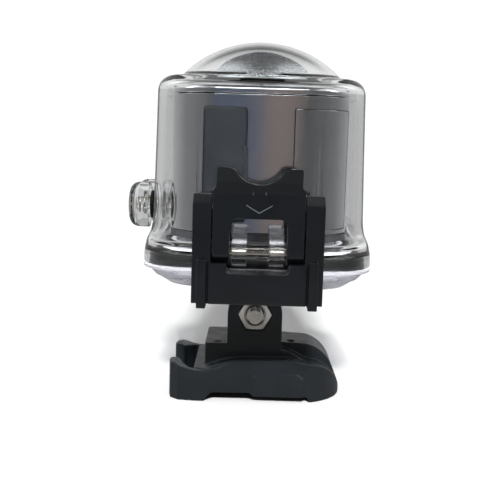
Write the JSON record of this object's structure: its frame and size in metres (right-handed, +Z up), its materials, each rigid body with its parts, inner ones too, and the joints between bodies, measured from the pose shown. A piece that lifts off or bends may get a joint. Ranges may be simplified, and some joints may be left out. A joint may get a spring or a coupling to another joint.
{
  "type": "action camera in dive housing",
  "caption": "Panoramic action camera in a clear dive housing with a domed top, rear latch and side buttons, on a quick-release buckle.",
  "frame": {"origin": "middle of the buckle's sole, on the housing's axis", "axes": "+Z up along the housing's axis, -Y the latch side, +X to the right seen from the latch side, along the buckle's nose"},
  "size_m": [0.0644, 0.0766, 0.0974],
  "materials": {
    "clear_polycarbonate": "polished, clear",
    "latch_black": "satin black",
    "buckle_charcoal": "fine spark texture",
    "stainless_steel": "turned, bright",
    "black_rubber": "matt",
    "grey_silicone": "matt",
    "silver_body": "satin silver paint",
    "polished_ring": "spun, bright",
    "lens_glass": "coated glass",
    "inner_black": "satin",
    "circuit_board": "solder mask",
    "battery_wrap": "printed wrap, left plain",
    "brass": "turned"
  },
  "bodies": {
    "buckle": {"buckle_body": "buckle_charcoal", "clamp_nut": "stainless_steel"},
    "thumb_screw": {"thumb_screw_bolt": "stainless_steel", "thumb_screw_knob": "latch_black"},
    "cover": {"base_cover": "clear_polycarbonate", "cover_gasket": "black_rubber", "hinge_pin": "stainless_steel", "support_pad": "grey_silicone"},
    "housing": {"housing_shell": "clear_polycarbonate", "latch_pin": "stainless_steel", "power_button_seal": "black_rubber", "mode_button_seal": "black_rubber", "power_button_spring": "stainless_steel", "mode_button_spring": "stainless_steel", "camera_case": "silver_body", "port_door": "black_rubber", "battery_door": "silver_body", "camera_base": "inner_black", "base_screw_1": "stainless_steel", "base_screw_2": "stainless_steel", "base_screw_3": "stainless_steel", "tripod_bush": "brass", "camera_top": "silver_body", "lens_ring": "polished_ring", "front_lens": "lens_glass", "lens_barrel": "inner_black", "middle_lens": "lens_glass", "rear_lens": "lens_glass", "image_sensor": "circuit_board", "sensor_board": "circuit_board", "main_board": "circuit_board", "battery": "battery_wrap", "memory_card": "inner_black", "usb_socket": "stainless_steel", "video_socket": "stainless_steel"},
    "lever": {"latch_lever": "latch_black", "bail_pin_left": "stainless_steel", "bail_pin_right": "stainless_steel"},
    "bail": {"latch_bail": "latch_black"},
    "power_button": {"power_button": "clear_polycarbonate", "power_button_clip": "stainless_steel"},
    "mode_button": {"mode_button": "clear_polycarbonate", "mode_button_clip": "stainless_steel"},
    "power_key": {"power_key": "silver_body"},
    "mode_key": {"mode_key": "silver_body"}
  },
  "joints": [
    {"name": "clamp_turn", "type": "hinge", "parent": "buckle", "child": "thumb_screw", "pos_m": [0, 0, 0.0234], "axis": [0, 1, 0], "continuous": true},
    {"name": "mount_tilt", "type": "hinge", "parent": "buckle", "child": "cover", "pos_m": [0, 0, 0.0234], "axis": [0, 1, 0], "range_deg": [-50, 50]},
    {"name": "housing_hinge", "type": "hinge", "parent": "cover", "child": "housing", "pos_m": [0, 0.033, 0.03875], "axis": [-1, 0, 0], "range_deg": [0, 70]},
    {"name": "lever_pivot", "type": "hinge", "parent": "housing", "child": "lever", "pos_m": [0, -0.034, 0.0436], "axis": [1, 0, 0], "range_deg": [0, 119]},
    {"name": "bail_pivot", "type": "hinge", "parent": "lever", "child": "bail", "pos_m": [0, -0.0356, 0.0548], "axis": [1, 0, 0], "range_deg": [-214.2, 0]},
    {"name": "power_press", "type": "slide", "parent": "housing", "child": "power_button", "axis": [1, 0, 0], "range_m": [0, 0.001], "stiffness_N_per_m": 1500, "springref_m": -0.0006, "deforming": ["power_button_spring"]},
    {"name": "power_key_press", "type": "slide", "parent": "housing", "child": "power_key", "axis": [1, 0, 0], "range_m": [0, 0.00075]},
    {"name": "mode_press", "type": "slide", "parent": "housing", "child": "mode_button", "axis": [1, 0, 0], "range_m": [0, 0.001], "stiffness_N_per_m": 1500, "springref_m": -0.0006, "deforming": ["mode_button_spring"]},
    {"name": "mode_key_press", "type": "slide", "parent": "housing", "child": "mode_key", "axis": [1, 0, 0], "range_m": [0, 0.00075]}
  ],
  "couplings": [
    {"joint": "lever_pivot", "follows": "housing_hinge", "ratio": 1.7},
    {"joint": "bail_pivot", "follows": "housing_hinge", "ratio": -3.06},
    {"joint": "power_key_press", "follows": "power_press", "ratio": 0.75},
    {"joint": "mode_key_press", "follows": "mode_press", "ratio": 0.75}
  ]
}
